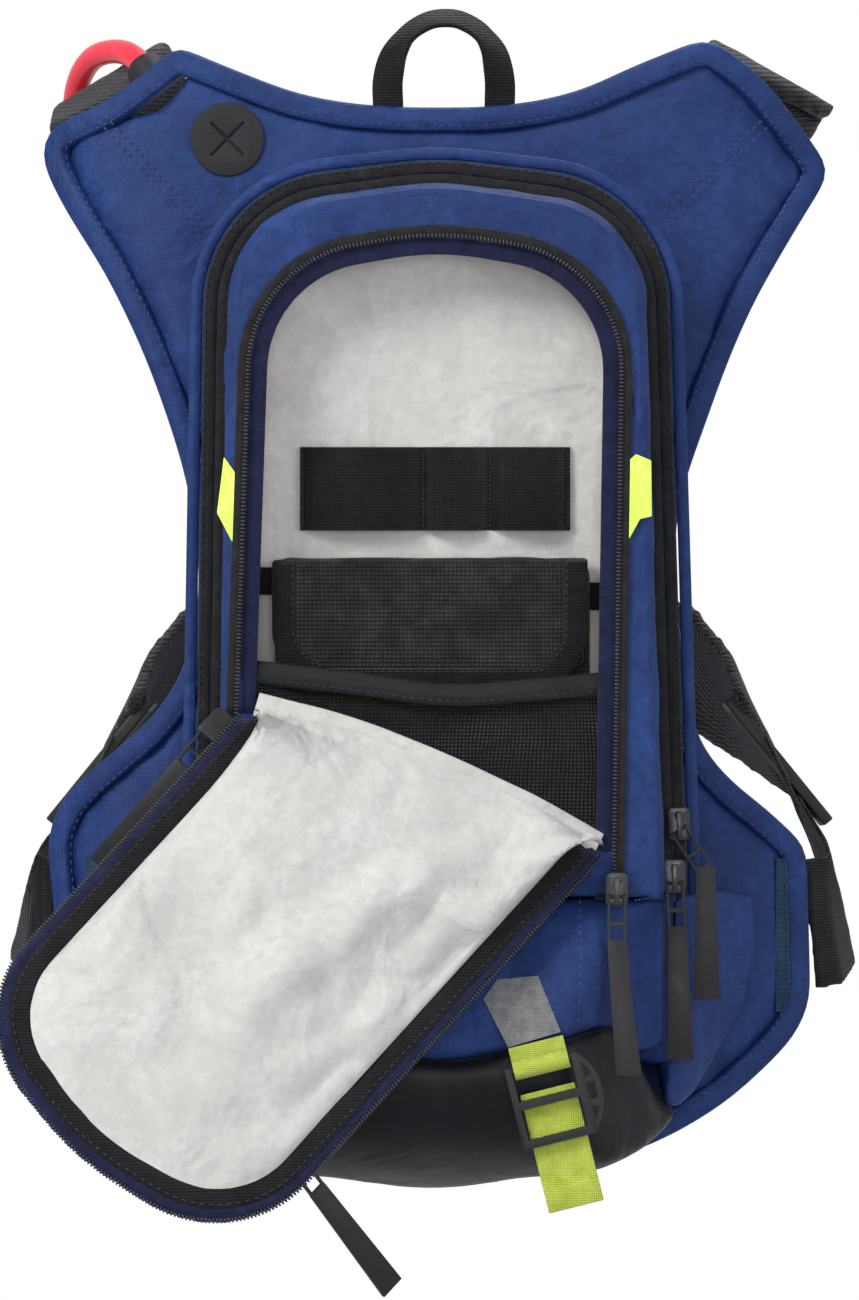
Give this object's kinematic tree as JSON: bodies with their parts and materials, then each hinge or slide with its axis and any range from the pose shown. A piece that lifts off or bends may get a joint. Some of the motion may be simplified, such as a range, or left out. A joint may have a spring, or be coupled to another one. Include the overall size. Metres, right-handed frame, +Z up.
{
  "type": "hydration pack",
  "caption": "Vest-style hydration pack with a zipped main bag, a drop-down tool pocket with loops, pouch and mesh, a drinking hose and a clasped chest harness.",
  "frame": {"origin": "middle of the flat face that rests on the wearer's back", "axes": "+Z up, the pack's front faces -Y, the wearer stands at +Y, +X to the right as seen from the front"},
  "size_m": [0.3183, 0.3282, 0.459],
  "materials": {
    "blue_fabric": "close weave with a light coating",
    "navy_binding": "grosgrain",
    "back_foam": "air mesh over foam",
    "zip_tape": "coated tape with a coil",
    "black_webbing": "woven",
    "black_fabric": "smooth coated",
    "grey_lining": "plain weave",
    "black_mesh": "open knit",
    "neon_print": "bright print",
    "reflective_fabric": "reflective",
    "yellow_webbing": "woven",
    "black_plastic": "moulded",
    "slider_metal": "satin",
    "port_rubber": "moulded",
    "hose_plastic": "translucent",
    "clear_film": "clear",
    "teal_strip": "woven"
  },
  "bodies": {
    "pack": {"back_panel": "back_foam", "yoke_panel": "blue_fabric", "edge_binding": "navy_binding", "main_bag": "blue_fabric", "reservoir": "clear_film", "reservoir_slide": "black_plastic", "front_pocket": "blue_fabric", "pocket_lining": "grey_lining", "bottom_panel": "black_fabric", "side_pocket_left": "blue_fabric", "side_pocket_right": "blue_fabric", "wing_strips": "teal_strip", "haul_loop": "black_webbing", "hose_port": "port_rubber", "hose_outlet": "port_rubber", "main_zip_track": "zip_tape", "pocket_zip_track": "zip_tape", "tool_loops": "black_webbing", "pouch_body": "black_fabric", "pouch_bands": "black_webbing", "mesh_pocket": "black_mesh", "neon_patches": "neon_print", "reflective_tab": "reflective_fabric", "anchor_loop": "yellow_webbing", "side_tag": "teal_strip", "shoulder_strap_left": "back_foam", "shoulder_strap_right": "back_foam", "side_elastic_left": "black_webbing", "side_elastic_right": "black_webbing"},
    "flap": {"flap_panel": "blue_fabric", "flap_lining": "grey_lining", "flap_binding": "black_webbing", "flap_zip_track": "zip_tape", "stash_zip_track": "zip_tape"},
    "pouch_flap": {"pouch_flap": "black_fabric"},
    "hanging_strap": {"ladder_lock": "black_plastic", "lower_web": "yellow_webbing"},
    "harness_right": {"chest_strap_right": "back_foam", "side_web_right": "black_webbing", "side_panel_right": "back_foam", "adjuster_right": "black_plastic", "clasp_tongue": "black_plastic"},
    "harness_left": {"chest_strap_left": "back_foam", "side_web_left": "black_webbing", "side_panel_left": "back_foam", "adjuster_left": "black_plastic", "clasp_housing": "black_plastic", "drink_hose": "hose_plastic", "bite_valve": "port_rubber"},
    "clasp_button": {"clasp_button": "black_plastic"},
    "main_upper_slider": {"main_upper_slider": "slider_metal"},
    "main_upper_pull": {"main_upper_pull": "black_plastic"},
    "main_lower_slider": {"main_lower_slider": "slider_metal"},
    "main_lower_pull": {"main_lower_pull": "black_plastic"},
    "pocket_right_slider": {"pocket_right_slider": "slider_metal"},
    "pocket_right_pull": {"pocket_right_pull": "black_plastic"},
    "pocket_left_slider": {"pocket_left_slider": "slider_metal"},
    "pocket_left_pull": {"pocket_left_pull": "black_plastic"},
    "stash_slider": {"stash_slider": "slider_metal"},
    "stash_pull": {"stash_pull": "black_plastic"}
  },
  "joints": [
    {"name": "pocket_flap_fold", "type": "hinge", "parent": "pack", "child": "flap", "pos_m": [-0.005, -0.0748, -0.06325], "axis": [-0.9321, 0, 0.3621], "range_deg": [0, 154]},
    {"name": "pouch_flap_fold", "type": "hinge", "parent": "pack", "child": "pouch_flap", "pos_m": [0, -0.0525, 0.0146], "axis": [1, 0, 0], "range_deg": [-65, 0]},
    {"name": "hanging_strap_swing", "type": "hinge", "parent": "pack", "child": "hanging_strap", "pos_m": [0.0358, -0.101, -0.1638], "axis": [-0.9703, 0, -0.2419], "range_deg": [-4, 60]},
    {"name": "harness_right_swing", "type": "hinge", "parent": "pack", "child": "harness_right", "pos_m": [0.123, 0.05, 0.193], "axis": [0.0507, 0, -0.9987], "range_deg": [0, 70], "deforming": ["shoulder_strap_right", "side_elastic_right"]},
    {"name": "harness_left_swing", "type": "hinge", "parent": "pack", "child": "harness_left", "pos_m": [-0.123, 0.05, 0.193], "axis": [0.0507, 0, 0.9987], "range_deg": [0, 70], "deforming": ["shoulder_strap_left", "side_elastic_left", "drink_hose"]},
    {"name": "clasp_button_press", "type": "slide", "parent": "harness_left", "child": "clasp_button", "axis": [0, -1, 0], "range_m": [0, 0.0025], "stiffness_N_per_m": 500},
    {"name": "main_upper_zip", "type": "slide", "parent": "pack", "child": "main_upper_slider", "axis": [-0.0394, 0, 0.9992], "range_m": [0, 0.11]},
    {"name": "main_upper_pull_swing", "type": "hinge", "parent": "main_upper_slider", "child": "main_upper_pull", "pos_m": [0.0866, -0.0508, -0.0834], "axis": [-0.829, 0, -0.5592], "range_deg": [0, 90]},
    {"name": "main_lower_zip", "type": "slide", "parent": "pack", "child": "main_lower_slider", "axis": [0, 0, 1], "range_m": [0, 0.005]},
    {"name": "main_lower_pull_swing", "type": "hinge", "parent": "main_lower_slider", "child": "main_lower_pull", "pos_m": [0.085, -0.0508, -0.1024], "axis": [-0.9986, 0, -0.0523], "range_deg": [0, 115]},
    {"name": "pocket_right_zip", "type": "slide", "parent": "pack", "child": "pocket_right_slider", "axis": [0.0149, 0, 0.9999], "range_m": [0, 0.15]},
    {"name": "pocket_right_pull_swing", "type": "hinge", "parent": "pocket_right_slider", "child": "pocket_right_pull", "pos_m": [0.0632, -0.0795, -0.1054], "axis": [-1, 0, 0], "range_deg": [0, 130]},
    {"name": "pocket_left_zip", "type": "slide", "parent": "flap", "child": "pocket_left_slider", "axis": [-0.6409, -0.4086, -0.6498], "range_m": [0, 0.09]},
    {"name": "pocket_left_pull_swing", "type": "hinge", "parent": "pocket_left_slider", "child": "pocket_left_pull", "pos_m": [-0.08196, -0.0755, -0.04639], "axis": [0.751, -0.1587, -0.6409], "range_deg": [-20, 42]},
    {"name": "stash_zip", "type": "slide", "parent": "flap", "child": "stash_slider", "axis": [-0.751, 0.1587, 0.6409], "range_m": [0, 0.085]},
    {"name": "stash_pull_swing", "type": "hinge", "parent": "stash_slider", "child": "stash_pull", "pos_m": [-0.05202, -0.13578, -0.19281], "axis": [0.6409, 0.4086, 0.6498], "range_deg": [-20, 90]}
  ],
  "couplings": [
    {"joint": "harness_left_swing", "follows": "harness_right_swing", "ratio": 1}
  ]
}
